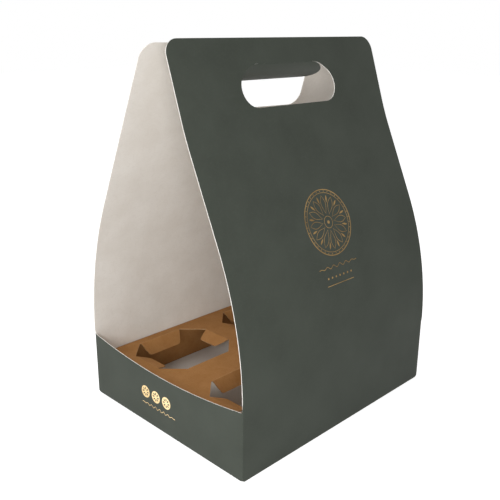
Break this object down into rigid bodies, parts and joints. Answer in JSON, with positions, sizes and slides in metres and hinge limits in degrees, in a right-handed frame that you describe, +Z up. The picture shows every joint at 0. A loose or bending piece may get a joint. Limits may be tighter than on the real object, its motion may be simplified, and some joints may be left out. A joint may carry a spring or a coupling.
{
  "type": "cardboard cup carrier",
  "caption": "Folded card carrier for hot drink cups: low end panels, two tall leaning panels with a hand slot and a kraft tray with cup holes.",
  "frame": {"origin": "middle of the bottom, on the surface that the carrier stands on", "axes": "+X along the tall panels, from the open end shown in the picture to the far one; +Y from the front panel to the back panel; +Z up"},
  "size_m": [0.225, 0.18, 0.2986],
  "materials": {
    "card": "matt dark print outside, white uncoated card inside",
    "kraft": "plain brown kraft card"
  },
  "bodies": {
    "root": {"carrier_body": "card", "cup_tray": "kraft"}
  },
  "joints": []
}
